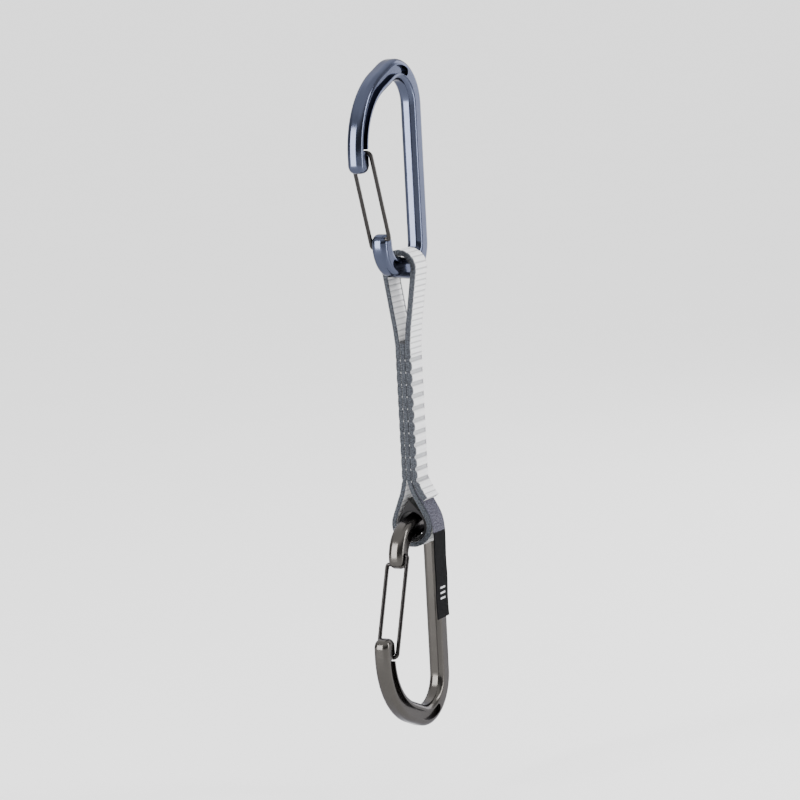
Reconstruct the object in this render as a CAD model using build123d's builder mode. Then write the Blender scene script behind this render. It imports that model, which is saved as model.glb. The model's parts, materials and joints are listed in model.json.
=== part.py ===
"""Climbing quickdraw: two wire-gate carabiners joined by a sewn webbing sling.

Millimetres, +Z up. The quickdraw hangs straight down. The origin is the bearing
point of the upper carabiner: the deepest point of its basket's inner face.
Both carabiners lie in the XZ plane, gates towards -X and spines towards +X, and
the webbing is flat across X. The lower carabiner is the upper one's shape turned
half a turn about X.

A carabiner's outline is drawn in its own plane: u runs from the gate side to the
spine, v from the hinge end to the nose end.
"""

import os
from math import asin, atan2, cos, degrees, hypot, radians, sin

from build123d import *

os.makedirs("parts", exist_ok=True)

# --- carabiner frame ---------------------------------------------------------
FRAME_WIDTH = 54.0  # outside, across the spine and the nose
FRAME_LENGTH = 87.6  # outside, hinge end to nose end
FRAME_THICK = 6.6
BASKET_DEPTH = 8.6  # in-plane depth of the bar in the nose basket
SPINE_DEPTH = 7.8
HINGE_DEPTH = 8.4  # in-plane depth of the bar that the webbing hangs on
NOSE_DEPTH = 8.2
EAR_DEPTH = 7.8
NOSE_TIP_V = 45.0
EAR_TIP_V = 20.0  # gate opening is NOSE_TIP_V - EAR_TIP_V
EAR_OUTER_U = 15.2
EAR_LEAN = 1.0  # the ear tip's shift towards the spine
BASKET_SLOPE = 22.4  # degrees, nose basket's fall towards the spine
HINGE_SLOPE = 9.75  # degrees, hinge end's fall towards the spine
NOSE_CORNER_R = 34.0
SPINE_NOSE_R = 19.0
SPINE_HINGE_R = 14.0
EAR_CORNER_R = 14.0
NOSE_INNER_R = 24.0
SPINE_NOSE_INNER_R = 10.5
SPINE_HINGE_INNER_R = 6.0
EAR_INNER_R = 5.6
EDGE_ROUND = 2.2
TIP_ROUND = 3.6
POCKET_WIDTH = 3.4  # I-beam channel between the two flanges
POCKET_DEPTH = 1.5
# Where each channel starts and ends, as shares of the bar's middle line.
BASKET_POCKET = (0.055, 0.345)
HINGE_POCKET = (0.79, 0.925)

# --- wire gate ---------------------------------------------------------------
WIRE_DIA = 1.7
LEG_GAP = 0.15  # between a leg and the frame's side
PIVOT_U = 18.8
PIVOT_V = 16.3
PIVOT_OFFSET = 1.9  # each wire end's distance from the mean pivot axis
HOOK_U = 6.1  # where the wire's closed end rests in the nose
HOOK_V = 53.0
STUB_DEPTH = 2.2  # wire end inside the ear
STUB_CLEARANCE = 0.06
STUB_END_GAP = 0.2
NOTCH_CLEARANCE = 0.4
GATE_TRAVEL = 27.0  # degrees
GATE_OVERTRAVEL = 1.5  # degrees of room at each end of the wire's slot
LOOP_BEND_R = 1.7

# --- sling -------------------------------------------------------------------
SLING_LENGTH = 120.0  # outside of one loop to outside of the other
WEB_WIDTH = 11.0
WEB_THICK = 2.15
WEB_U = 37.5  # where the webbing sits along the hinge-end bar
UPPER_LOOP = 36.0  # outside of the loop to the first sewn layer
LOWER_LOOP = 25.0
BAR_CLEARANCE = 0.34  # round the bar, over its whole turn
RUBBER_WALL = 1.25
RUBBER_WIDTH = 10.0
WEDGE_INSET = 0.6  # the wedge's sides, inside the ring's tangents
WEDGE_DROP = 5.2  # the wedge's top, below the sewn zone
WEDGE_TOP = 0.34
SOFT_GAP = 0.1  # rubber to webbing, label to webbing
TAIL_LENGTH = 8.0

# --- sewing and label --------------------------------------------------------
TACK_COUNT = 11
TACK_FIRST = 8.2  # below the top of the sewn zone
TACK_LAST = 1.8  # above the bottom of the sewn zone
TACK_LENGTH = 9.6
TACK_HEIGHT = 1.6
TACK_GROOVE = 0.75
TACK_PAD = 0.45
TACK_CORE_HEIGHT = 0.9
TACK_CORE_INSET = 0.4  # at each end, inside the webbing's edges
LABEL_WIDTH = 10.0
LABEL_THICK = 0.5
LABEL_DROP = 38.5  # hangs this far below the lower bar's centre
LABEL_BEND_R = 8.0
LABEL_TUCK = 1.5  # the label's hidden end below the sewn zone, in webbing thicknesses
STITCH_LENGTH = 8.0
STITCH_HEIGHT = 0.6
STITCH_SHIFT = 0.2  # towards the tail
STITCH_FROM_END = 1.4  # of the tail


# --- carabiner outline -------------------------------------------------------
basket_rise = sin(radians(BASKET_SLOPE)) / cos(radians(BASKET_SLOPE))
hinge_rise = sin(radians(HINGE_SLOPE)) / cos(radians(HINGE_SLOPE))


def corner_length(radius, line_slope):
    """Tangent length of the corner between the spine and an end's slope."""
    half = radians(90 + line_slope) / 2
    return radius * sin(half) / cos(half)


# The two ends' outer lines, placed so that their arcs just reach v = 0 and
# v = FRAME_LENGTH.
basket_outer_v = FRAME_LENGTH - SPINE_NOSE_R + corner_length(SPINE_NOSE_R, BASKET_SLOPE)
hinge_outer_v = SPINE_HINGE_R - corner_length(SPINE_HINGE_R, HINGE_SLOPE)


def basket_line(u, depth):
    """v of the nose basket's line at u, depth inside the outer line."""
    at_outer = basket_outer_v - (FRAME_WIDTH - u) * basket_rise
    return at_outer - depth / cos(radians(BASKET_SLOPE))


def hinge_line(u, depth):
    """v of the hinge end's line at u, depth inside the outer line."""
    at_outer = hinge_outer_v + (FRAME_WIDTH - u) * hinge_rise
    return at_outer + depth / cos(radians(HINGE_SLOPE))


spine_inner_u = FRAME_WIDTH - SPINE_DEPTH
nose_inner_u = BASKET_DEPTH
ear_inner_u = EAR_OUTER_U + EAR_DEPTH

outer_points = [
    (0.0, NOSE_TIP_V),
    (0.0, basket_line(0.0, 0.0)),
    (FRAME_WIDTH, basket_line(FRAME_WIDTH, 0.0)),
    (FRAME_WIDTH, hinge_line(FRAME_WIDTH, 0.0)),
    (EAR_OUTER_U, hinge_line(EAR_OUTER_U, 0.0)),
    (EAR_OUTER_U + EAR_LEAN, EAR_TIP_V),
]
inner_points = [
    (NOSE_DEPTH, NOSE_TIP_V),
    (nose_inner_u, basket_line(nose_inner_u, BASKET_DEPTH)),
    (spine_inner_u, basket_line(spine_inner_u, BASKET_DEPTH)),
    (spine_inner_u, hinge_line(spine_inner_u, HINGE_DEPTH)),
    (ear_inner_u, hinge_line(ear_inner_u, HINGE_DEPTH)),
    (EAR_OUTER_U + EAR_LEAN + EAR_DEPTH, EAR_TIP_V),
]
middle_points = [
    ((a[0] + b[0]) / 2, (a[1] + b[1]) / 2) for a, b in zip(outer_points, inner_points)
]
outer_radii = [NOSE_CORNER_R, SPINE_NOSE_R, SPINE_HINGE_R, EAR_CORNER_R]
inner_radii = [NOSE_INNER_R, SPINE_NOSE_INNER_R, SPINE_HINGE_INNER_R, EAR_INNER_R]
middle_radii = [(a + b) / 2 for a, b in zip(outer_radii, inner_radii)]

# Bearing point: the deepest point of the basket's inner face.
seat_u = spine_inner_u - SPINE_NOSE_INNER_R
seat_v = (
    basket_line(spine_inner_u, BASKET_DEPTH)
    - corner_length(SPINE_NOSE_INNER_R, BASKET_SLOPE)
    + SPINE_NOSE_INNER_R
)
# The bar under the webbing: its centre, and the circle that it turns within.
web_near_u = WEB_U - WEB_WIDTH / 2
bar_far_v = hinge_line(web_near_u, HINGE_DEPTH)
bar_v = bar_far_v / 2
bar_radius = (
    hypot(bar_v - EDGE_ROUND, FRAME_THICK / 2 - EDGE_ROUND) + EDGE_ROUND
)

# --- heights along the quickdraw ---------------------------------------------
web_x = WEB_U - seat_u
upper_bar_z = bar_v - seat_v
upper_loop_r = bar_radius + BAR_CLEARANCE
rubber_outer_r = bar_radius + BAR_CLEARANCE + RUBBER_WALL
lower_loop_r = rubber_outer_r + SOFT_GAP
sling_top_z = upper_bar_z + upper_loop_r + WEB_THICK
lower_bar_z = sling_top_z - SLING_LENGTH + lower_loop_r + WEB_THICK
sewn_top_z = sling_top_z - UPPER_LOOP
sewn_bottom_z = sling_top_z - SLING_LENGTH + LOWER_LOOP
sewn_half = 1.5 * WEB_THICK

upper_plane = Plane(origin=(-seat_u, 0, -seat_v), x_dir=(1, 0, 0), z_dir=(0, -1, 0))
lower_plane = Plane(
    origin=(-seat_u, 0, lower_bar_z + bar_v), x_dir=(1, 0, 0), z_dir=(0, 1, 0)
)

# --- gate line ---------------------------------------------------------------
gate_reach = hypot(HOOK_U - PIVOT_U, HOOK_V - PIVOT_V)
gate_angle = degrees(atan2(HOOK_V - PIVOT_V, HOOK_U - PIVOT_U))
leg_w = FRAME_THICK / 2 + LEG_GAP + WIRE_DIA / 2
stub_bend_r = leg_w - FRAME_THICK / 2
stub_w = FRAME_THICK / 2 - STUB_DEPTH


def carabiner_frame(plane):
    """One forged frame, drawn in the given plane."""
    pivot_slots = []
    for side, toward in ((-1, 180), (1, 0)):
        swing = CenterArc(
            (PIVOT_U, PIVOT_V),
            PIVOT_OFFSET,
            gate_angle + toward + GATE_OVERTRAVEL,
            -(GATE_TRAVEL + 2 * GATE_OVERTRAVEL),
        )
        pivot_slots.append((side, swing))
    with BuildPart() as frame:
        with BuildSketch(plane):
            with BuildLine():
                outer = FilletPolyline(*outer_points, radius=outer_radii)
                inner = FilletPolyline(*inner_points, radius=inner_radii)
                Line(outer @ 0, inner @ 0)
                Line(outer @ 1, inner @ 1)
            make_face()
        extrude(amount=FRAME_THICK / 2, both=True)
        tips = frame.edges().filter_by(Axis.Y)
        tips = [
            edge
            for edge in tips
            if min(
                abs(plane.to_local_coords(edge.center()).Y - NOSE_TIP_V),
                abs(plane.to_local_coords(edge.center()).Y - EAR_TIP_V),
            )
            < 0.01
        ]
        fillet(tips, TIP_ROUND)
        rims = [
            edge
            for edge in frame.edges()
            if abs(abs(plane.to_local_coords(edge.center()).Z) - FRAME_THICK / 2) < 0.01
        ]
        fillet(rims, EDGE_ROUND)
        # I-beam channels on both sides, along the nose basket and the hinge end.
        with BuildSketch(plane.offset(FRAME_THICK / 2)) as near_channels:
            for start, finish in (BASKET_POCKET, HINGE_POCKET):
                with BuildLine() as run:
                    spine = FilletPolyline(
                        *middle_points, radius=middle_radii, mode=Mode.PRIVATE
                    )
                    add(spine.trim(start, finish))
                    offset(amount=POCKET_WIDTH / 2, side=Side.BOTH)
                make_face()
        pads = extrude(
            near_channels.sketch, amount=-POCKET_DEPTH, mode=Mode.SUBTRACT
        )
        mirror(pads, about=plane, mode=Mode.SUBTRACT)
        # Curved slots that take the wire's two ends, on opposite sides of the ear.
        for side, swing in pivot_slots:
            with BuildSketch(plane.offset(side * FRAME_THICK / 2)):
                SlotArc(swing, WIRE_DIA + 2 * STUB_CLEARANCE)
            extrude(amount=-side * (STUB_DEPTH + STUB_END_GAP), mode=Mode.SUBTRACT)
        # Notch in the nose that the wire's closed end drops into.
        slot_width = WIRE_DIA + 2 * NOTCH_CLEARANCE
        across = gate_angle - 90
        run_in = NOSE_DEPTH
        with BuildSketch(plane):
            with Locations(
                (
                    HOOK_U + run_in / 2 * cos(radians(across)),
                    HOOK_V + run_in / 2 * sin(radians(across)),
                )
            ):
                SlotCenterToCenter(run_in, slot_width, rotation=across)
        extrude(amount=FRAME_THICK, both=True, mode=Mode.SUBTRACT)
    return frame


def wire_gate(plane):
    """One bent-wire gate: two ends in the ear, closed end in the nose."""
    along = Vector(cos(radians(gate_angle)), sin(radians(gate_angle)), 0)
    centre = plane.from_local_coords(Vector(PIVOT_U, PIVOT_V, 0))
    tip = plane.from_local_coords(Vector(PIVOT_U, PIVOT_V, 0) + along)
    x_dir = tip - centre
    gate_plane = Plane(origin=centre, x_dir=x_dir, z_dir=x_dir.cross(plane.z_dir))
    with BuildPart() as gate:
        with BuildLine(gate_plane) as path:
            FilletPolyline(
                (-PIVOT_OFFSET, -stub_w),
                (-PIVOT_OFFSET, -leg_w),
                (gate_reach, -leg_w),
                (gate_reach, leg_w),
                (PIVOT_OFFSET, leg_w),
                (PIVOT_OFFSET, stub_w),
                radius=[stub_bend_r, LOOP_BEND_R, LOOP_BEND_R, stub_bend_r],
            )
        with BuildSketch(path.line ^ 0):
            Circle(WIRE_DIA / 2)
        sweep()
    return gate


# --- carabiners --------------------------------------------------------------
upper_frame = carabiner_frame(upper_plane)
upper_frame.part.label = "upper_frame"
export_step(upper_frame.part, "parts/upper_frame.step")

lower_frame = carabiner_frame(lower_plane)
lower_frame.part.label = "lower_frame"
export_step(lower_frame.part, "parts/lower_frame.step")

upper_gate = wire_gate(upper_plane)
upper_gate.part.label = "upper_gate"
export_step(upper_gate.part, "parts/upper_gate.step")

lower_gate = wire_gate(lower_plane)
lower_gate.part.label = "lower_gate"
export_step(lower_gate.part, "parts/lower_gate.step")


# --- sling -------------------------------------------------------------------
def tangent_point(foot_y, foot_z, centre_z, radius, side):
    """Where a leg from (foot_y, foot_z) meets the loop, on the given side of Y."""
    reach = hypot(foot_y, foot_z - centre_z)
    lean = atan2(foot_y, abs(foot_z - centre_z))
    turn = asin(radius / reach) * side
    length = (reach**2 - radius**2) ** 0.5
    up = 1 if centre_z > foot_z else -1
    return (foot_y + length * sin(turn - lean), foot_z + up * length * cos(turn - lean))


web_plane = Plane(origin=(web_x, 0, 0), x_dir=(0, 1, 0), z_dir=(1, 0, 0))
upper_mid_r = upper_loop_r + WEB_THICK / 2
lower_mid_r = lower_loop_r + WEB_THICK / 2
upper_right = tangent_point(-WEB_THICK, sewn_top_z, upper_bar_z, upper_mid_r, -1)
upper_left = tangent_point(WEB_THICK, sewn_top_z, upper_bar_z, upper_mid_r, 1)
lower_left = tangent_point(WEB_THICK, sewn_bottom_z, lower_bar_z, lower_mid_r, 1)
lower_right = tangent_point(0, sewn_bottom_z, lower_bar_z, lower_mid_r, -1)

# The loop's -Y leg sets the lean of the tail and the label beside it.
leg_angle = atan2(-lower_right[0], sewn_bottom_z - lower_right[1])
leg_dir = (-sin(leg_angle), -cos(leg_angle))
leg_out = (-cos(leg_angle), sin(leg_angle))
label_out = WEB_THICK / 2 + SOFT_GAP + LABEL_THICK / 2
tail_out = label_out + LABEL_THICK / 2 + SOFT_GAP + WEB_THICK / 2


def beside_leg(out, down):
    """A point out from the -Y leg's middle line and down along it."""
    return (
        out * leg_out[0] + down * leg_dir[0],
        sewn_bottom_z + out * leg_out[1] + down * leg_dir[1],
    )


sewn_length = sewn_top_z - sewn_bottom_z
tack_pitch = (sewn_length - TACK_FIRST - TACK_LAST) / (TACK_COUNT - 1)
tack_heights = [sewn_top_z - TACK_FIRST - i * tack_pitch for i in range(TACK_COUNT)]
tack_core_length = TACK_LENGTH - 2 * TACK_CORE_INSET
stitch_out = (label_out + tail_out) / 2 + STITCH_SHIFT
stitch_centre = beside_leg(stitch_out, TAIL_LENGTH - STITCH_FROM_END)
stitch_plane = Plane(
    origin=(web_x, stitch_centre[0], stitch_centre[1]),
    x_dir=(1, 0, 0),
    z_dir=(0, leg_out[0], leg_out[1]),
)
stitch_depth = WEB_THICK + LABEL_THICK + SOFT_GAP

with BuildPart() as label_stitch:
    with BuildSketch(stitch_plane):
        Rectangle(STITCH_LENGTH, STITCH_HEIGHT)
    extrude(amount=stitch_depth / 2, both=True)

with BuildPart() as sling_webbing:
    with BuildSketch(web_plane):
        with Locations((0, (sewn_top_z + sewn_bottom_z) / 2)):
            Rectangle(2 * sewn_half, sewn_length)
        with BuildLine():
            Line((-WEB_THICK, sewn_top_z), upper_right)
            ThreePointArc(upper_right, (0, upper_bar_z + upper_mid_r), upper_left)
            Line(upper_left, (WEB_THICK, sewn_top_z))
        trace(line_width=WEB_THICK)
        with BuildLine():
            Line((WEB_THICK, sewn_bottom_z), lower_left)
            ThreePointArc(lower_left, (0, lower_bar_z - lower_mid_r), lower_right)
            Line(lower_right, (0, sewn_bottom_z))
        trace(line_width=WEB_THICK)
        with BuildLine():
            Polyline(
                (-WEB_THICK, sewn_bottom_z + WEB_THICK),
                (-WEB_THICK, sewn_bottom_z),
                beside_leg(tail_out, WEB_THICK / 2),
                beside_leg(tail_out, TAIL_LENGTH),
            )
        trace(line_width=WEB_THICK)
    extrude(amount=WEB_WIDTH / 2, both=True)
    # Each bar tack pulls a groove across both faces and fills a slot between them.
    with Locations([(web_x, 0, z) for z in tack_heights]):
        Box(tack_core_length, 2 * sewn_half, TACK_CORE_HEIGHT, mode=Mode.SUBTRACT)
    for side in (-1, 1):
        groove_y = side * (sewn_half - TACK_GROOVE / 2)
        with Locations([(web_x, groove_y, z) for z in tack_heights]):
            Box(WEB_WIDTH, TACK_GROOVE, TACK_HEIGHT, mode=Mode.SUBTRACT)
    add(label_stitch.part, mode=Mode.SUBTRACT)

sling_webbing.part.label = "sling_webbing"
export_step(sling_webbing.part, "parts/sling_webbing.step")

for number, tack_z in enumerate(tack_heights, start=1):
    with BuildPart() as bar_tack:
        with Locations((web_x, 0, tack_z)):
            Box(tack_core_length, 2 * (sewn_half - TACK_GROOVE), TACK_CORE_HEIGHT)
        for side in (-1, 1):
            pad_y = side * (sewn_half - TACK_GROOVE + TACK_PAD / 2)
            with Locations((web_x, pad_y, tack_z)):
                Box(TACK_LENGTH, TACK_PAD, TACK_HEIGHT)
    bar_tack.part.label = f"bar_tack_{number:02d}"
    export_step(bar_tack.part, f"parts/bar_tack_{number:02d}.step")

# --- rubber keeper, round the lower bar and up into the loop's crotch ---------
with BuildPart() as rubber_keeper:
    with BuildSketch(web_plane):
        with Locations((0, lower_bar_z)):
            Circle(rubber_outer_r)
        wedge_r = rubber_outer_r - WEDGE_INSET
        wedge_left = tangent_point(WEB_THICK, sewn_bottom_z, lower_bar_z, wedge_r, 1)
        wedge_right = tangent_point(0, sewn_bottom_z, lower_bar_z, wedge_r, -1)
        with BuildLine():
            Polyline(
                ((WEB_THICK - WEDGE_TOP) / 2, sewn_bottom_z - WEDGE_DROP),
                ((WEB_THICK + WEDGE_TOP) / 2, sewn_bottom_z - WEDGE_DROP),
                wedge_left,
                (0, lower_bar_z),
                wedge_right,
                close=True,
            )
        make_face()
        with Locations((0, lower_bar_z)):
            Circle(bar_radius + BAR_CLEARANCE, mode=Mode.SUBTRACT)
    extrude(amount=RUBBER_WIDTH / 2, both=True)
rubber_keeper.part.label = "rubber_keeper"
export_step(rubber_keeper.part, "parts/rubber_keeper.step")

# --- label: tape sewn under the tail, hanging beside the lower carabiner ------
label_y = -(lower_loop_r + WEB_THICK + 3 * SOFT_GAP + LABEL_THICK)
label_start = beside_leg(label_out, LABEL_TUCK * WEB_THICK)
label_turn_z = label_start[1] - (label_start[0] - label_y) * cos(leg_angle) / sin(leg_angle)
with BuildPart() as label_tag:
    with BuildSketch(web_plane):
        with BuildLine():
            FilletPolyline(
                label_start,
                (label_y, label_turn_z),
                (label_y, lower_bar_z - LABEL_DROP),
                radius=LABEL_BEND_R,
            )
        trace(line_width=LABEL_THICK)
    extrude(amount=LABEL_WIDTH / 2, both=True)
    add(label_stitch.part, mode=Mode.SUBTRACT)
label_tag.part.label = "label_tag"
export_step(label_tag.part, "parts/label_tag.step")

label_stitch.part.label = "label_stitch"
export_step(label_stitch.part, "parts/label_stitch.step")
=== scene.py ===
"""Looks of the climbing quickdraw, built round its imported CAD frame. Metres, +Z up."""

import json
from math import acos, asin, atan2, cos, exp, hypot, pi, radians, sin

import bmesh
import bpy
from mathutils import Euler, Matrix, Vector


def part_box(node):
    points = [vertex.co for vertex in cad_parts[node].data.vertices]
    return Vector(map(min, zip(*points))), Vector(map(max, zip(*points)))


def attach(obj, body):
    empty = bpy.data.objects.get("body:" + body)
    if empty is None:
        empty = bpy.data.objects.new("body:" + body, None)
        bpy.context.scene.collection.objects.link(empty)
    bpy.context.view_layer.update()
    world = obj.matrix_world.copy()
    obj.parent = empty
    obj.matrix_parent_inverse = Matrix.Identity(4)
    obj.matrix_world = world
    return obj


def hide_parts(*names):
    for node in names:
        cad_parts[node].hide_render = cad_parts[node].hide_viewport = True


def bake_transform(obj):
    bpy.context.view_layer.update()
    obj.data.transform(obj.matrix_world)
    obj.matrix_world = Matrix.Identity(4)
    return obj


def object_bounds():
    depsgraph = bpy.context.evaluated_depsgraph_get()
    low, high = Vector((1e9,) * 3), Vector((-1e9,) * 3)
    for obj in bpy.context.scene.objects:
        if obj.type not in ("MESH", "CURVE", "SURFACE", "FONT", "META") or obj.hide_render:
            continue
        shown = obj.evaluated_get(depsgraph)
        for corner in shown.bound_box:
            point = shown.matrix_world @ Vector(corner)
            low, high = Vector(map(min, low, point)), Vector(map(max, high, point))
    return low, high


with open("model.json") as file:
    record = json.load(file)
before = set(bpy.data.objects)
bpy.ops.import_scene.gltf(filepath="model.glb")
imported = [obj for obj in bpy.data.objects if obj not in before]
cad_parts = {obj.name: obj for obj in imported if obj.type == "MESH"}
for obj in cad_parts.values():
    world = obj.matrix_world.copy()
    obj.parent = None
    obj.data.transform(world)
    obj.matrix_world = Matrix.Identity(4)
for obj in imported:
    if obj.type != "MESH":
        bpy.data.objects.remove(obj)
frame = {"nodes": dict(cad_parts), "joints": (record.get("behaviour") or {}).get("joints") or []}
cad_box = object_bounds()
MM = 0.001

# --- sizes read from the frame, in millimetres ---------------------------------
web_low, web_high = (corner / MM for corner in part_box("sling_webbing"))
label_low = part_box("label_tag")[0] / MM
tack_names = sorted(name for name in frame["nodes"] if name.startswith("bar_tack_"))
tack_heights = [sum(c.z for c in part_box(name)) / 2 / MM for name in tack_names]
joints = {joint["name"]: joint for joint in frame["joints"]}
upper_bar_z = joints["sling_swing"]["pos_m"][2] / MM
lower_bar_z = joints["lower_swing"]["pos_m"][2] / MM
web_x = (web_low.x + web_high.x) / 2

WEB_WIDTH = web_high.x - web_low.x
WEB_THICK = 2.15
LAYER_GAP = 0.1
TACK_FIRST = 8.2
TACK_LAST = 1.8
SEWN_TOP = tack_heights[0] + TACK_FIRST
SEWN_BOTTOM = tack_heights[-1] - TACK_LAST
UPPER_LOOP_R = web_high.z - upper_bar_z - WEB_THICK / 2
LOWER_LOOP_R = lower_bar_z - web_low.z - WEB_THICK / 2
RUBBER_R = LOWER_LOOP_R - WEB_THICK / 2 - LAYER_GAP
COLLAR_WALL = 1.25
RUBBER_EDGE = 0.5

TACK_LENGTH = 9.6
TACK_HEIGHT = 1.6
TACK_SPREAD = 0.95
THREAD_DIA = 0.42
THREAD_SINK = 0.56
THREAD_LEAN = 0.13

LABEL_WIDTH = 10.0
LABEL_THICK = 0.5
LABEL_CORNER = 0.2
LABEL_OUT = WEB_THICK / 2 + LAYER_GAP + LABEL_THICK / 2
TAPE_TOP = 19.0
TAPE_MARK = 44.0
MARK_PITCH = 1.1
MARK_REACH = 3.3
MARK_HALF_WIDTH = 2.0
TAIL_LENGTH = 8.0
TAIL_OUT = LABEL_OUT + LABEL_THICK / 2 + LAYER_GAP + WEB_THICK / 2
LABEL_SEAM_WIDTH = 7.2
LABEL_SEAM_FROM_END = 1.4

RIB_PITCH = 2.3
RIB_SPREAD = 0.42
RIB_DEPTH = 0.2
SEWN_RIB_DEPTH = 0.07
PUFF = 0.34
TACK_BITE = 0.66
EDGE_BITE = 0.06
SELVAGE = 0.7
DARK_END = 1.3
KNOT_DEPTH = 0.09
WEB_CORNER = 0.42
WEB_GIRTH = 2 * (WEB_WIDTH + WEB_THICK) - (8 - 2 * pi) * WEB_CORNER

WEB_STEP = 0.23
LABEL_STEP = 0.3
FINE_STEP = 0.15
WELD = 0.004

# --- places of the studio, in metres unless named otherwise --------------------
FLOOR_DROP_MM = 30.0
FLOOR_HALF_MM = 30000.0
DIM_WALL = 0.17
BACK_WALL = 1.6
CEILING = 2.0
SEEN_WALL = 1.7
LENS_MM = 136.0
CAMERA_AWAY = 1.2
CAMERA_AZIMUTH = radians(-62.0)
CAMERA_ELEVATION = radians(8.5)
CAMERA_ROLL = radians(-3.0)


# --- node helpers ----------------------------------------------------------------
class Nodes:
    """A material's node tree, with short calls for its usual nodes."""

    def __init__(self, name):
        self.material = bpy.data.materials.new(name)
        self.material.use_nodes = True
        self.tree = self.material.node_tree
        self.shader = self.tree.nodes["Principled BSDF"]

    def add(self, kind, **values):
        node = self.tree.nodes.new(kind)
        for key, value in values.items():
            setattr(node, key, value)
        return node

    def link(self, source, target):
        self.tree.links.new(source, target)

    def surface(self, **values):
        for key, value in values.items():
            self.shader.inputs[key.replace("_", " ")].default_value = value

    def position(self, kind="Object"):
        return self.add("ShaderNodeTexCoord").outputs[kind]

    def noise(self, vector, scale, detail=2.0, roughness=0.5):
        node = self.add("ShaderNodeTexNoise")
        node.inputs["Scale"].default_value = scale
        node.inputs["Detail"].default_value = detail
        node.inputs["Roughness"].default_value = roughness
        self.link(vector, node.inputs["Vector"])
        return node.outputs["Fac"]

    def wave(self, vector, scale, direction, distortion=0.0):
        node = self.add("ShaderNodeTexWave", bands_direction=direction)
        node.inputs["Scale"].default_value = scale
        node.inputs["Distortion"].default_value = distortion
        self.link(vector, node.inputs["Vector"])
        return node.outputs["Fac"]

    def math(self, operation, first, second=0.0, third=0.0):
        node = self.add("ShaderNodeMath", operation=operation)
        for socket, value in zip(node.inputs, (first, second, third)):
            if hasattr(value, "is_linked"):
                self.link(value, socket)
            else:
                socket.default_value = value
        return node.outputs[0]

    def ramp(self, factor, stops):
        node = self.add("ShaderNodeValToRGB")
        while len(node.color_ramp.elements) < len(stops):
            node.color_ramp.elements.new(0.5)
        for element, (place, colour) in zip(node.color_ramp.elements, stops):
            element.position = place
            element.color = (*colour, 1.0)
        self.link(factor, node.inputs["Fac"])
        return node.outputs["Color"]

    def mix(self, factor, first, second):
        node = self.add("ShaderNodeMix", data_type="RGBA")
        sockets = (node.inputs[0], node.inputs[6], node.inputs[7])
        for socket, value in zip(sockets, (factor, first, second)):
            if hasattr(value, "is_linked"):
                self.link(value, socket)
            elif isinstance(value, tuple):
                socket.default_value = (*value, 1.0)
            else:
                socket.default_value = value
        return node.outputs[2]

    def remap(self, value, low, high):
        node = self.add("ShaderNodeMapRange")
        node.inputs["To Min"].default_value = low
        node.inputs["To Max"].default_value = high
        self.link(value, node.inputs["Value"])
        return node.outputs["Result"]

    def smooth(self, value, low, high):
        """A smooth step from 0 at low to 1 at high."""
        node = self.add("ShaderNodeMapRange", interpolation_type="SMOOTHSTEP")
        node.inputs["From Min"].default_value = low
        node.inputs["From Max"].default_value = high
        self.link(value, node.inputs["Value"])
        return node.outputs["Result"]

    def bump(self, height, strength, distance):
        node = self.add("ShaderNodeBump")
        node.inputs["Strength"].default_value = strength
        node.inputs["Distance"].default_value = distance
        self.link(height, node.inputs["Height"])
        self.link(node.outputs["Normal"], self.shader.inputs["Normal"])


# --- materials ---------------------------------------------------------------------
def anodised(name, deep, pale, gloss):
    """Anodised forging: metal under a tinted layer, with a faint blasted grain."""
    m = Nodes(name)
    at = m.position()
    cloud = m.noise(at, 90.0, 3.0)
    m.link(m.mix(cloud, deep, pale), m.shader.inputs["Base Color"])
    grain = m.noise(at, 2600.0, 4.0, 0.6)
    m.link(m.remap(grain, gloss - 0.05, gloss + 0.07), m.shader.inputs["Roughness"])
    m.bump(grain, 0.12, 0.00004)
    m.surface(Metallic=1.0, Specular_Tint=(0.55, 0.55, 0.58, 1.0), Coat_Weight=0.08, Coat_Roughness=0.1)
    return m.material


def coated_wire():
    """Dark drawn wire with a thin glossy coat."""
    m = Nodes("coated_wire")
    at = m.position()
    drawn = m.noise(at, 1500.0, 3.0)
    colour = m.mix(drawn, (0.012, 0.011, 0.011), (0.028, 0.025, 0.025))
    m.link(colour, m.shader.inputs["Base Color"])
    m.link(m.remap(drawn, 0.22, 0.36), m.shader.inputs["Roughness"])
    m.bump(drawn, 0.08, 0.00003)
    m.surface(Metallic=0.9, Coat_Weight=0.15, Coat_Roughness=0.1)
    return m.material


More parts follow.
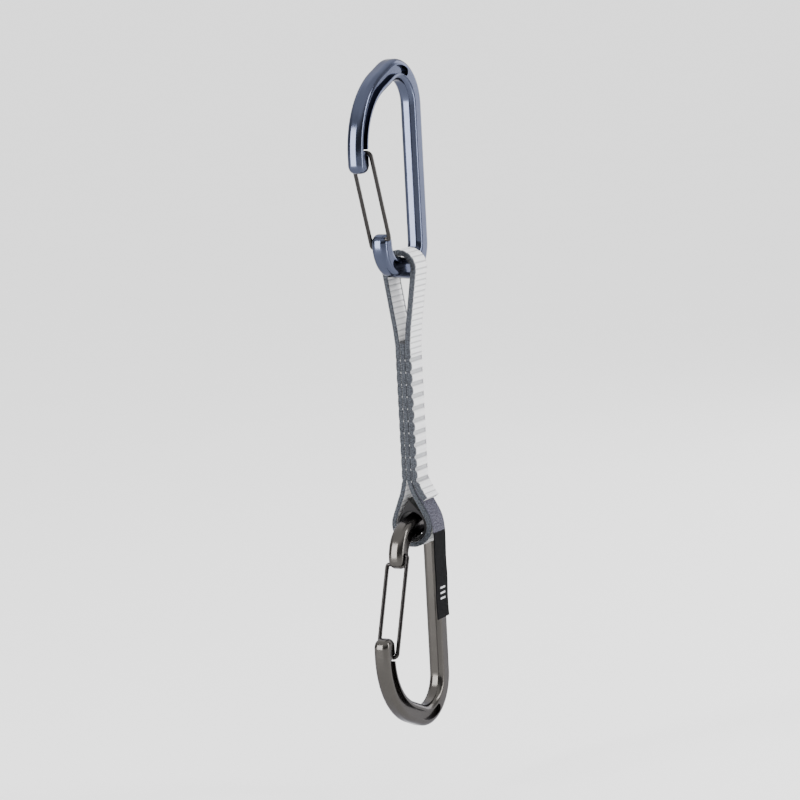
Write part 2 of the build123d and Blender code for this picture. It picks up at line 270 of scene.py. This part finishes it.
def woven_strip(name, length):
    """Webbing: pale ribbed faces with painted shade in the rib grooves and round the bar tacks, dark
    flecked selvages and a darkened end.

    The strip UV is millimetres round the band and along it. The sewn UV is the distance to the
    nearest bar tack, and 1 on a sewn outer face.
    """
    m = Nodes(name)
    uv = m.position("UV")
    split = m.add("ShaderNodeSeparateXYZ")
    m.link(uv, split.inputs[0])
    across = m.math("PINGPONG", split.outputs["X"], WEB_GIRTH / 4)
    along = split.outputs["Y"]
    fuzz = m.noise(uv, 1.9, 4.0, 0.7)
    wobble = m.math("MULTIPLY_ADD", fuzz, 0.35, along)
    to_rib = m.math("PINGPONG", wobble, RIB_PITCH / 2)
    marks = m.add("ShaderNodeSeparateXYZ")
    m.link(m.add("ShaderNodeUVMap", uv_map="sewn").outputs["UV"], marks.inputs[0])
    # Painted shade: the sewn outer faces darken in the pinched grooves round each bar tack.
    from_tack = m.math("MULTIPLY_ADD", m.math("SUBTRACT", fuzz, 0.5), 0.5, marks.outputs["X"])
    squeezed = m.math("SUBTRACT", 1.0, m.smooth(from_tack, 0.55, 1.35))
    painted_tack_shade = m.math("MULTIPLY", squeezed, marks.outputs["Y"])
    # Painted shade: the face colour darkens in the grooves between the ribs, less on the shallower sewn
    # faces.
    plain = m.math("MULTIPLY_ADD", marks.outputs["Y"], -0.75, 1.0)
    rib_groove = m.math("MULTIPLY", m.math("SUBTRACT", 1.0, m.smooth(to_rib, 0.05, 0.5)), plain)
    yarn = m.math("MULTIPLY", m.wave(uv, 0.62, "Y", 1.2), m.wave(uv, 0.5, "X", 0.8))
    # The face's dark colour mixes painted groove shade with the yarn's own woven pattern.
    shade = m.math("MAXIMUM", m.math("MULTIPLY", rib_groove, 0.8), m.math("MULTIPLY", yarn, 0.35))
    shade = m.math("MAXIMUM", shade, painted_tack_shade)
    face = m.mix(shade, (0.76, 0.76, 0.77), (0.27, 0.275, 0.29))
    flecks = ((0.38, (0.010, 0.012, 0.016)), (0.64, (0.075, 0.083, 0.10)))
    fleck = m.ramp(m.noise(uv, 1.5, 3.0, 0.75), flecks)
    selvage_from = WEB_WIDTH / 2 - SELVAGE
    edge = m.smooth(across, selvage_from - 0.06, selvage_from + 0.06)
    colour = m.mix(edge, face, fleck)
    # The last stretch of the band, at its end inside the upper loop's crotch, is coloured near black.
    darkened_end = m.smooth(along, length - DARK_END, length - 0.7)
    m.link(m.mix(darkened_end, colour, (0.03, 0.03, 0.034)), m.shader.inputs["Base Color"])
    m.link(m.remap(fuzz, 0.72, 0.95), m.shader.inputs["Roughness"])
    height = m.math("ADD", m.math("SUBTRACT", yarn, rib_groove), m.math("MULTIPLY", fuzz, 1.1))
    m.bump(height, 0.8, 0.00013)
    m.surface(Sheen_Weight=0.2, Sheen_Roughness=0.5, Specular_IOR_Level=0.25)
    return m.material


def sewing_thread():
    """Twisted grey sewing thread."""
    m = Nodes("sewing_thread")
    at = m.position()
    twist = m.noise(at, 5200.0, 3.0, 0.6)
    m.link(m.mix(twist, (0.27, 0.28, 0.30), (0.58, 0.58, 0.60)), m.shader.inputs["Base Color"])
    m.link(m.remap(twist, 0.45, 0.7), m.shader.inputs["Roughness"])
    m.bump(twist, 0.5, 0.00006)
    m.surface(Sheen_Weight=0.3)
    return m.material


def moulded_rubber():
    """Black rubber with a fine matt grain."""
    m = Nodes("moulded_rubber")
    at = m.position()
    grain = m.noise(at, 1800.0, 4.0, 0.6)
    m.link(m.mix(grain, (0.004, 0.004, 0.0045), (0.012, 0.0115, 0.0125)), m.shader.inputs["Base Color"])
    m.link(m.remap(grain, 0.5, 0.7), m.shader.inputs["Roughness"])
    m.bump(grain, 0.3, 0.00005)
    m.surface(Specular_IOR_Level=0.22)
    return m.material


def label_weave():
    """Black satin tape with a grey textured top and three plain woven bars."""
    m = Nodes("label_weave")
    uv = m.position("UV")
    split = m.add("ShaderNodeSeparateXYZ")
    m.link(uv, split.inputs[0])
    down = split.outputs["Y"]
    warp = m.wave(uv, 1.6, "X", 0.3)
    weft = m.wave(uv, 1.6, "Y", 0.3)
    weave = m.math("MULTIPLY", warp, weft)
    fuzz = m.noise(uv, 2.4, 4.0, 0.7)
    black = m.mix(weave, (0.002, 0.002, 0.0025), (0.008, 0.008, 0.009))
    coarse = m.noise(uv, 1.5, 3.0, 0.8)
    grey = m.ramp(coarse, ((0.4, (0.018, 0.018, 0.025)), (0.6, (0.11, 0.108, 0.14))))
    top = m.math("LESS_THAN", down, TAPE_TOP)
    to_bar = m.math("PINGPONG", m.math("SUBTRACT", down, TAPE_TOP), MARK_PITCH)
    bars = m.math("GREATER_THAN", to_bar, 0.72)
    marked = m.math("MULTIPLY", bars, m.math("COMPARE", down, TAPE_MARK, MARK_REACH))
    from_middle = m.math("ABSOLUTE", split.outputs["X"])
    marked = m.math("MULTIPLY", marked, m.math("LESS_THAN", from_middle, MARK_HALF_WIDTH))
    plain = m.mix(marked, black, (0.5, 0.5, 0.52))
    m.link(m.mix(top, plain, grey), m.shader.inputs["Base Color"])
    m.link(m.remap(fuzz, 0.75, 0.95), m.shader.inputs["Roughness"])
    relief = m.math("ADD", weave, m.math("MULTIPLY", m.math("MULTIPLY", coarse, top), 3.0))
    m.bump(relief, 0.6, 0.0001)
    m.surface(Specular_IOR_Level=0.05)
    return m.material


def painted_floor():
    """Matt off-white floor paint."""
    m = Nodes("painted_floor")
    fine = m.noise(m.position(), 12.0, 3.0)
    colour = m.mix(fine, (0.93, 0.93, 0.93), (0.96, 0.96, 0.96))
    m.link(colour, m.shader.inputs["Base Color"])
    m.surface(Roughness=0.8)
    return m.material


# --- mesh helpers ----------------------------------------------------------------
def finish_piece(bm, name, material, body, replaced=(), smooth=True):
    """Turns a bmesh in millimetres into a piece that rides on a body."""
    bmesh.ops.scale(bm, vec=(MM, MM, MM), verts=bm.verts)
    mesh = bpy.data.meshes.new(name)
    bm.to_mesh(mesh)
    bm.free()
    for polygon in mesh.polygons:
        polygon.use_smooth = smooth
    piece = bpy.data.objects.new(name, mesh)
    bpy.context.scene.collection.objects.link(piece)
    piece.data.materials.append(material)
    if body:
        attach(piece, body)
    if replaced:
        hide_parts(*replaced)
    return piece


def curve_through(points, step):
    """A smooth line through points, as evenly spaced (y, z) places about step apart."""
    dense = []
    for i in range(len(points) - 1):
        before = points[max(i - 1, 0)]
        a, b = points[i], points[i + 1]
        after = points[min(i + 2, len(points) - 1)]
        parts = max(2, int(hypot(b[0] - a[0], b[1] - a[1]) / FINE_STEP))
        for k in range(parts):
            t = k / parts
            dense.append(
                tuple(
                    0.5
                    * (
                        2 * a[j]
                        + (b[j] - before[j]) * t
                        + (2 * before[j] - 5 * a[j] + 4 * b[j] - after[j]) * t**2
                        + (3 * a[j] - before[j] - 3 * b[j] + after[j]) * t**3
                    )
                    for j in (0, 1)
                )
            )
    dense.append(points[-1])
    lengths = [0.0]
    for a, b in zip(dense, dense[1:]):
        lengths.append(lengths[-1] + hypot(b[0] - a[0], b[1] - a[1]))
    count = max(2, round(lengths[-1] / step))
    even, at = [], 0
    for k in range(count + 1):
        want = lengths[-1] * k / count
        while at < len(dense) - 2 and lengths[at + 1] < want:
            at += 1
        share = (want - lengths[at]) / max(lengths[at + 1] - lengths[at], 1e-9)
        share = min(max(share, 0.0), 1.0)
        a, b = dense[at], dense[at + 1]
        even.append(tuple(a[j] + share * (b[j] - a[j]) for j in (0, 1)))
    return even, lengths[-1]


def band_section(width, thick, corner):
    """A band's closed section with rounded corners, as (across, out) points from its top left."""
    flat, side = width / 2 - corner, thick / 2 - corner
    points = []
    for turn, (x, n), (run_x, run_n), steps in (
        (0, (-flat, side), (2 * flat, 0), 13),
        (90, (flat, side), (0, -2 * side), 4),
        (180, (flat, -side), (-2 * flat, 0), 13),
        (270, (-flat, -side), (0, 2 * side), 4),
    ):
        for k in range(3):
            angle = radians(180 - turn - 30 * k)
            points.append((x + corner * cos(angle), n + corner * sin(angle)))
        edge_x, edge_n = x + corner * sin(radians(turn)), n + corner * cos(radians(turn))
        for k in range(steps):
            points.append((edge_x + run_x * k / steps, edge_n + run_n * k / steps))
    points.append(points[0])
    return points


def sewing_marks(y, z, n):
    """Distance to the nearest bar tack, and how far the place is a sewn outer face, 0 to 1."""
    nearest = min(abs(z - tack) for tack in tack_heights)
    outside = abs(y) > WEB_THICK / 2 and n > 0
    sewn = SEWN_BOTTOM < z < tack_heights[0] + 1.5
    return min(nearest, 3.0), 1.0 if outside and sewn else 0.0


def strip(line, length, section, shape, centre_x):
    """A band along a line in the YZ plane; shape(along, across, out, y, z) moves its surface."""
    bm = bmesh.new()
    uv = bm.loops.layers.uv.new("strip")
    sewn = bm.loops.layers.uv.new("sewn")
    rows, around = len(line), len(section)
    bmesh.ops.create_grid(bm, x_segments=around - 1, y_segments=rows - 1, size=0.5)
    girth = [0.0]
    for a, b in zip(section, section[1:]):
        girth.append(girth[-1] + hypot(b[0] - a[0], b[1] - a[1]))
    face_centre = next(g for g, (x, n) in zip(girth, section) if n > 0 and x >= 0)
    places = {}
    for vert in bm.verts:
        column = round((vert.co.x + 0.5) * (around - 1))
        row = round((vert.co.y + 0.5) * (rows - 1))
        along, round_it = row * length / (rows - 1), girth[column] - face_centre
        places[vert.index] = (along, row, *section[column], round_it)
    for face in bm.faces:
        for loop in face.loops:
            along, row, x, n, round_it = places[loop.vert.index]
            loop[uv].uv = (round_it, along)
            loop[sewn].uv = sewing_marks(*line[row], n)
    for vert in bm.verts:
        along, row, x, n = places[vert.index][:4]
        y, z = line[row]
        y0, z0 = line[max(row - 1, 0)]
        y1, z1 = line[min(row + 1, rows - 1)]
        run = hypot(y1 - y0, z1 - z0)
        x, n = shape(along, x, n, y, z)
        vert.co = Vector((centre_x + x, y - (z1 - z0) / run * n, z + (y1 - y0) / run * n))
    seam = [vert for vert in bm.verts if vert.is_boundary]
    bmesh.ops.remove_doubles(bm, verts=seam, dist=WELD)
    ends = [edge for edge in bm.edges if edge.is_boundary]
    bmesh.ops.holes_fill(bm, edges=ends, sides=0)
    bmesh.ops.recalc_face_normals(bm, faces=bm.faces)
    return bm


# --- sling -----------------------------------------------------------------------
def bell(value, centre, spread):
    """A soft hump, 1 at the centre and near 0 two spreads away."""
    return exp(-(((value - centre) / spread) ** 2))


def pinch(z):
    """How hard the nearest bar tack squeezes the layers at a height, 0 to 1."""
    return max(bell(z, tack, TACK_SPREAD) for tack in tack_heights)


def tangent_leg(foot_y, foot_z, centre_z, radius, side):
    """Where a leg from the sewn layers meets its loop."""
    reach = hypot(foot_y, foot_z - centre_z)
    lean = atan2(foot_y, abs(foot_z - centre_z))
    turn = asin(radius / reach) * side
    length = (reach**2 - radius**2) ** 0.5
    up = 1 if centre_z > foot_z else -1
    return foot_y + length * sin(turn - lean), foot_z + up * length * cos(turn - lean)


def run_between(a, b, count):
    """The points that part the straight run from a to b into count parts, without its ends."""
    shares = [k / count for k in range(1, count)]
    return [(a[0] + (b[0] - a[0]) * t, a[1] + (b[1] - a[1]) * t) for t in shares]


def loop_run(first, last, centre_z, radius, steps):
    """The arc from the point first to the point last, clockwise seen from the +X side."""
    start = atan2(first[1] - centre_z, first[0])
    end = atan2(last[1] - centre_z, last[0])
    if end > start:
        end -= 2 * pi
    angles = [start + (end - start) * k / steps for k in range(steps + 1)]
    return [(radius * cos(a), centre_z + radius * sin(a)) for a in angles]


upper_right = tangent_leg(-WEB_THICK, SEWN_TOP, upper_bar_z, UPPER_LOOP_R, -1)
upper_left = (-upper_right[0], upper_right[1])
lower_left = tangent_leg(WEB_THICK, SEWN_BOTTOM, lower_bar_z, LOWER_LOOP_R, 1)
lower_right = tangent_leg(0, SEWN_BOTTOM, lower_bar_z, LOWER_LOOP_R, -1)
leg_angle = atan2(-lower_right[0], SEWN_BOTTOM - lower_right[1])


def beside_leg(out, down):
    """A point out from the -Y leg's middle line and down along it."""
    return (
        -out * cos(leg_angle) - down * sin(leg_angle),
        SEWN_BOTTOM + out * sin(leg_angle) - down * cos(leg_angle),
    )


# The band's middle line: down the -Y side's tail, up the sewn part, round the upper bar, down the
# +Y side, round the lower bar, and up between the two outer layers.
sling_points = [beside_leg(TAIL_OUT + 0.35, TAIL_LENGTH), beside_leg(TAIL_OUT + 0.1, TAIL_LENGTH - 1.6)]
sling_points += [beside_leg(TAIL_OUT, down) for down in (4.8, 3.2, 1.6)]
sling_points += run_between((-WEB_THICK, SEWN_BOTTOM + 1.2), (-WEB_THICK, SEWN_TOP - 0.6), 40)
sling_points += run_between((-WEB_THICK, SEWN_TOP), upper_right, 6)
sling_points += loop_run(upper_right, upper_left, upper_bar_z, UPPER_LOOP_R, 24)
sling_points += run_between(upper_left, (WEB_THICK, SEWN_TOP), 6)
sling_points += run_between((WEB_THICK, SEWN_TOP - 0.6), (WEB_THICK, SEWN_BOTTOM + 0.6), 40)
sling_points += run_between((WEB_THICK, SEWN_BOTTOM), lower_left, 4)
sling_points += loop_run(lower_left, lower_right, lower_bar_z, LOWER_LOOP_R, 30)
sling_points += run_between(lower_right, (0, SEWN_BOTTOM), 5)
sling_points += run_between((0, SEWN_BOTTOM + 0.6), (0, SEWN_TOP + 1.0), 40)


def webbing_shape(along, x, n, y, z):
    """Ribs on both faces, drawn in at the bar tacks and puffed between them."""
    inward = WEB_WIDTH / 2 - abs(x)
    on_face = min(1.0, max(0.0, (inward - 0.15) / 0.8))
    side = 1 if n > 0 else -1
    to_line = abs((along + RIB_PITCH / 2) % RIB_PITCH - RIB_PITCH / 2)
    sewn_face = sewing_marks(y, z, n)[1] and n > WEB_THICK / 4
    depth = SEWN_RIB_DEPTH if sewn_face else RIB_DEPTH
    n -= side * depth * bell(to_line, 0, RIB_SPREAD) * on_face
    outward = 1 if x > 0 else -1
    if sewn_face:
        squeeze = pinch(z)
        n += PUFF * (1 - squeeze) * on_face - (TACK_BITE * on_face + EDGE_BITE) * squeeze
        x += outward * 0.1 * (1 - squeeze) * (1 - on_face)
    if inward < 0.3:
        knot = sin(2 * pi * along / 0.92 + 2.4 * n) + 0.5 * sin(2 * pi * along / 0.61 - 3.1 * n)
        x += outward * KNOT_DEPTH * knot
    return x, n


def make_webbing():
    """The whole band, one strip from its sewn tail to its end inside the upper loop."""
    line, length = curve_through(sling_points, WEB_STEP)
    bm = strip(line, length, band_section(WEB_WIDTH, WEB_THICK, WEB_CORNER), webbing_shape, web_x)
    weave = woven_strip("sling_weave", length)
    piece = finish_piece(bm, "webbing_strip", weave, "sling", ["sling_webbing"])


def thread_stitch(bm, start, end, radius):
    """One short rounded stitch from start to end."""
    made = bmesh.ops.create_uvsphere(bm, u_segments=6, v_segments=6, radius=1.0)["verts"]
    run = end - start
    turn = run.to_track_quat("Z", "Y").to_matrix()
    for vert in made:
        along = max(-1.0, min(1.0, vert.co.z * 1.2)) * run.length / 2
        vert.co = (start + end) / 2 + turn @ Vector((vert.co.x * radius, vert.co.y * radius, along))


def make_bar_tack(name, height, thread):
    """Dense zigzag stitches on both faces, and the thread that shows between the layers."""
    bm = bmesh.new()
    face_y = WEB_THICK * 1.5 - THREAD_SINK
    count = int(TACK_LENGTH / (THREAD_DIA * 0.98))
    for side in (-1, 1):
        for k in range(count):
            x = web_x - TACK_LENGTH / 2 + (k + 0.5) * TACK_LENGTH / count
            lean = THREAD_LEAN * (1 if k % 2 else -1)
            y = side * (face_y + 0.05 * sin(k * 2.4))
            rise = TACK_HEIGHT / 2 + 0.08 * sin(k * 3.7)
            low = Vector((x - lean, y, height - rise))
            high = Vector((x + lean, y, height + rise))
            thread_stitch(bm, low, high, THREAD_DIA / 2)
    for layer_edge in (-1, 1):
        for side in (-1, 1):
            x = web_x + side * (WEB_WIDTH / 2 - 0.1)
            low = Vector((x, layer_edge * WEB_THICK / 2, height - 0.4))
            high = low + Vector((side * 0.06, 0, 0.75))
            thread_stitch(bm, low, high, THREAD_DIA * 0.36)
    finish_piece(bm, name + "_thread", thread, "sling", [name])


# --- label -------------------------------------------------------------------------
def make_label():
    """The tape, sewn under the tail, turned down and hanging in slow waves beside the carabiner."""
    hang_y = label_low.y + LABEL_THICK / 2
    turn_down = (-hang_y - LABEL_OUT * cos(leg_angle)) / sin(leg_angle)
    turn_z = beside_leg(LABEL_OUT, turn_down)[1]
    points = [beside_leg(LABEL_OUT, down) for down in (2.6, 4.6, 6.6, 8.6, turn_down - 3.6)]
    points += [
        (hang_y + wave, turn_z - down)
        for down, wave in ((0.2, 0.62), (4.4, 0.08), (9.0, 0.05), (16.0, 0.22), (24.0, 0.06), (32.0, 0.3))
    ]
    points += [(hang_y + 0.12, label_low.z + 0.2)]
    points.reverse()
    line, length = curve_through(points, LABEL_STEP)

    def tape_shape(along, x, n, y, z):
        return x + 0.03 * sin(2 * pi * along / 0.7), n

    section = band_section(LABEL_WIDTH, LABEL_THICK, LABEL_CORNER)
    bm = strip(line, length, section, tape_shape, web_x)
    uv = bm.loops.layers.uv["strip"]
    for face in bm.faces:
        for loop in face.loops:
            loop[uv].uv = (loop[uv].uv.x, length - loop[uv].uv.y)
    piece = finish_piece(bm, "label_tape", label_weave(), None, ["label_tag"])
    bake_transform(piece)


def make_label_stitch(thread):
    """A row of stitches that shows on the tail's outer face, where the label is sewn under it."""
    bm = bmesh.new()
    count = 6
    y, z = beside_leg(TAIL_OUT + WEB_THICK / 2 + 0.02, TAIL_LENGTH - LABEL_SEAM_FROM_END)
    for k in range(count):
        x = web_x + LABEL_SEAM_WIDTH * (k / count - 0.5)
        thread_stitch(bm, Vector((x, y, z)), Vector((x + 0.95, y, z)), THREAD_DIA / 2)
    finish_piece(bm, "label_stitches", thread, "sling", ["label_stitch"])


# --- keeper ------------------------------------------------------------------------
def make_keeper():
    """Rubber collar round the bar, drawn up to a wedge in the loop's crotch."""
    low, high = (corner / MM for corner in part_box("rubber_keeper"))
    bar = Vector((low.x, 0, lower_bar_z))
    tip = Vector((0, WEB_THICK / 2, high.z - lower_bar_z))
    lean = Matrix.Rotation(atan2(tip.z, tip.y), 4, "X")
    place = Matrix.Translation(bar) @ lean @ Matrix.Rotation(radians(90), 4, "Y")
    bm = bmesh.new()
    rim = bmesh.ops.create_circle(bm, segments=72, radius=RUBBER_R, matrix=place)["verts"]
    bmesh.ops.create_circle(bm, segments=72, radius=RUBBER_R - COLLAR_WALL, matrix=place)
    spread = acos(RUBBER_R / tip.length)
    for vert in rim:
        from_tip = (vert.co - bar).angle(tip)
        if from_tip < spread:
            vert.co = bar + (vert.co - bar) / cos(spread - from_tip)
    bmesh.ops.bridge_loops(bm, edges=bm.edges)
    made = bmesh.ops.extrude_face_region(bm, geom=bm.faces[:])
    moved = [item for item in made["geom"] if isinstance(item, bmesh.types.BMVert)]
    bmesh.ops.translate(bm, vec=(high.x - low.x, 0, 0), verts=moved)
    bmesh.ops.recalc_face_normals(bm, faces=bm.faces)
    rims = [edge for edge in bm.edges if abs(edge.verts[0].co.x - edge.verts[1].co.x) < 0.001]
    rims = [edge for edge in rims if edge.calc_face_angle(0) > 1.0]
    bmesh.ops.bevel(
        bm,
        geom=rims,
        offset=RUBBER_EDGE,
        offset_type="OFFSET",
        affect="EDGES",
        segments=3,
        profile=0.5,
        material=-1,
    )
    rubber = moulded_rubber()
    finish_piece(bm, "keeper_moulding", rubber, "sling", ["rubber_keeper"], False)


# --- carried-over CAD nodes -----------------------------------------------------------
def paint(node, material):
    """Gives a carried-over node its finish."""
    obj = frame["nodes"][node]
    obj.data.materials.clear()
    obj.data.materials.append(material)


# --- stage -----------------------------------------------------------------------------
def make_stage():
    """A wide floor just under the hanging object."""
    bm = bmesh.new()
    bmesh.ops.create_grid(bm, x_segments=2, y_segments=2, size=FLOOR_HALF_MM)
    bmesh.ops.translate(bm, vec=(0, 0, cad_box[0][2] / MM - FLOOR_DROP_MM), verts=bm.verts)
    floor = finish_piece(bm, "floor", painted_floor(), None)


def soft_light(name, place, aim, size, power):
    """A rectangular soft box at a place, turned to its aim."""
    data = bpy.data.lights.new(name, "AREA")
    data.shape = "RECTANGLE"
    data.size, data.size_y = size
    data.energy = power
    light = bpy.data.objects.new(name, data)
    light.location = place
    light.rotation_euler = (Vector(aim) - Vector(place)).to_track_quat("-Z", "Y").to_euler()
    bpy.context.scene.collection.objects.link(light)


def make_world(away):
    """A pale studio: strong light from behind and above, weak elsewhere, and even walls to look at."""
    world = bpy.data.worlds.new("studio")
    world.use_nodes = True
    nodes, links = world.node_tree.nodes, world.node_tree.links
    outward = nodes.new("ShaderNodeTexCoord").outputs["Generated"]

    def cap(aim, start, full, strength):
        facing = nodes.new("ShaderNodeVectorMath")
        facing.operation = "DOT_PRODUCT"
        facing.inputs[1].default_value = aim
        links.new(outward, facing.inputs[0])
        fall = nodes.new("ShaderNodeMapRange")
        fall.interpolation_type = "SMOOTHSTEP"
        fall.inputs["From Min"].default_value = start
        fall.inputs["From Max"].default_value = full
        fall.inputs["To Min"].default_value = DIM_WALL
        fall.inputs["To Max"].default_value = strength
        links.new(facing.outputs["Value"], fall.inputs["Value"])
        return fall.outputs["Result"]

    total = nodes.new("ShaderNodeMath")
    links.new(cap(away, 0.0, 0.6, BACK_WALL), total.inputs[0])
    links.new(cap((0, 0, 1), 0.3, 0.85, CEILING), total.inputs[1])
    seen = nodes.new("ShaderNodeMix")
    links.new(nodes.new("ShaderNodeLightPath").outputs["Is Camera Ray"], seen.inputs[0])
    links.new(total.outputs[0], seen.inputs[2])
    seen.inputs[3].default_value = SEEN_WALL
    nodes["Background"].inputs["Color"].default_value = (1, 1, 1, 1)
    links.new(seen.outputs[0], nodes["Background"].inputs["Strength"])
    bpy.context.scene.world = world


def make_lights(centre, toward):
    """Three soft boxes: their places are metres to the right, toward the camera and up."""
    right = Vector((-toward.y, toward.x, 0)).normalized()
    up = Vector((0, 0, 1))
    for name, (across, near, above), size, power in (
        ("left_box", (-0.85, 0.55, 0.1), (0.18, 0.9), 13.0),
        ("right_box", (0.9, 0.1, 0.15), (0.16, 0.9), 10.0),
        ("back_box", (0.75, -0.75, 0.35), (0.4, 0.8), 6.0),
    ):
        place = centre + right * across + toward * near + up * above
        soft_light(name, place, centre, size, power)


def make_camera(centre, toward):
    """A long lens looking at the middle of the object, a little rolled."""
    data = bpy.data.cameras.new("camera")
    data.lens = LENS_MM
    camera = bpy.data.objects.new("camera", data)
    camera.location = centre + toward * CAMERA_AWAY
    look = (-toward).to_track_quat("-Z", "Y").to_matrix()
    roll = Euler((0, 0, CAMERA_ROLL)).to_matrix()
    camera.rotation_euler = (look @ roll).to_euler()
    bpy.context.scene.collection.objects.link(camera)
    bpy.context.scene.camera = camera


# --- build -------------------------------------------------------------------------------
thread = sewing_thread()
wire = coated_wire()
blue_grey = anodised("blue_grey_anodised", (0.036, 0.042, 0.066), (0.052, 0.060, 0.092), 0.16)
gunmetal = anodised("gunmetal_anodised", (0.042, 0.039, 0.036), (0.062, 0.058, 0.054), 0.21)
paint("upper_frame", blue_grey)
paint("lower_frame", gunmetal)
paint("upper_gate", wire)
paint("lower_gate", wire)
make_webbing()
for tack_name, tack_height in zip(tack_names, tack_heights):
    make_bar_tack(tack_name, tack_height, thread)
make_keeper()
make_label()
make_label_stitch(thread)
object_centre = (Vector(cad_box[0]) + Vector(cad_box[1])) / 2
level = cos(CAMERA_ELEVATION)
toward = Vector((sin(CAMERA_AZIMUTH) * level, -cos(CAMERA_AZIMUTH) * level, sin(CAMERA_ELEVATION)))
make_world(-toward)
make_camera(object_centre, toward)
make_lights(object_centre, toward)
make_stage()
